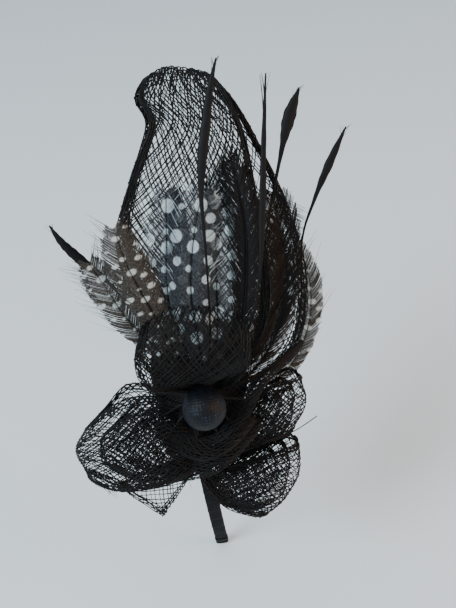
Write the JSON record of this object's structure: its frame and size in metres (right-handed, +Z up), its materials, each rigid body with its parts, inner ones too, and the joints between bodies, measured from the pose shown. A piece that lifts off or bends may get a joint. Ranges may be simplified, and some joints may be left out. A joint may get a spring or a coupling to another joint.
{
  "type": "fascinator headpiece",
  "caption": "Headband fascinator: open-weave loops, spotted feathers and stripped quills round a covered ball on an oval base.",
  "frame": {"origin": "midway between the two tips of the headband, at the height of the tips' ends", "axes": "+Z up towards the crown of the head, +X the wearer's front, -Y the wearer's right side, where the trim sits; the band lies in the plane x = 0"},
  "size_m": [0.0975, 0.169, 0.2084],
  "materials": {
    "spring_steel": "cold-rolled strip and pressed shell",
    "satin_ribbon": "black satin ribbon, low sheen",
    "black_felt": "matt pressed felt",
    "black_thread": "wound sewing thread",
    "black_sinamay": "open-weave black straw fibre",
    "woven_cover": "fine woven fabric pulled over a shell",
    "guinea_feather": "spotted guinea-fowl feather",
    "black_feather": "dyed black feather, soft gloss"
  },
  "bodies": {
    "root": {"band_core": "spring_steel", "band_ribbon": "satin_ribbon", "tip_cap_near": "satin_ribbon", "tip_cap_far": "satin_ribbon", "band_tab": "black_felt", "base_disc": "black_felt", "root_binding": "black_thread", "centre_knot": "black_sinamay", "button_cover": "woven_cover", "button_shell": "spring_steel", "button_back": "spring_steel", "tall_loop": "black_sinamay", "upper_petal": "black_sinamay", "left_loop": "black_sinamay", "left_tail": "black_sinamay", "right_loop_upper": "black_sinamay", "right_loop_lower": "black_sinamay", "side_sash": "black_sinamay", "guinea_left": "guinea_feather", "guinea_side": "guinea_feather", "guinea_center": "guinea_feather", "guinea_inner": "guinea_feather", "guinea_right": "guinea_feather", "hackle_center": "black_feather", "hackle_right": "black_feather", "hackle_low": "black_feather", "spear_1": "black_feather", "spear_2": "black_feather", "spear_3": "black_feather", "spear_4": "black_feather", "curl_feather": "black_feather", "barb_tuft": "black_feather"}
  },
  "joints": []
}
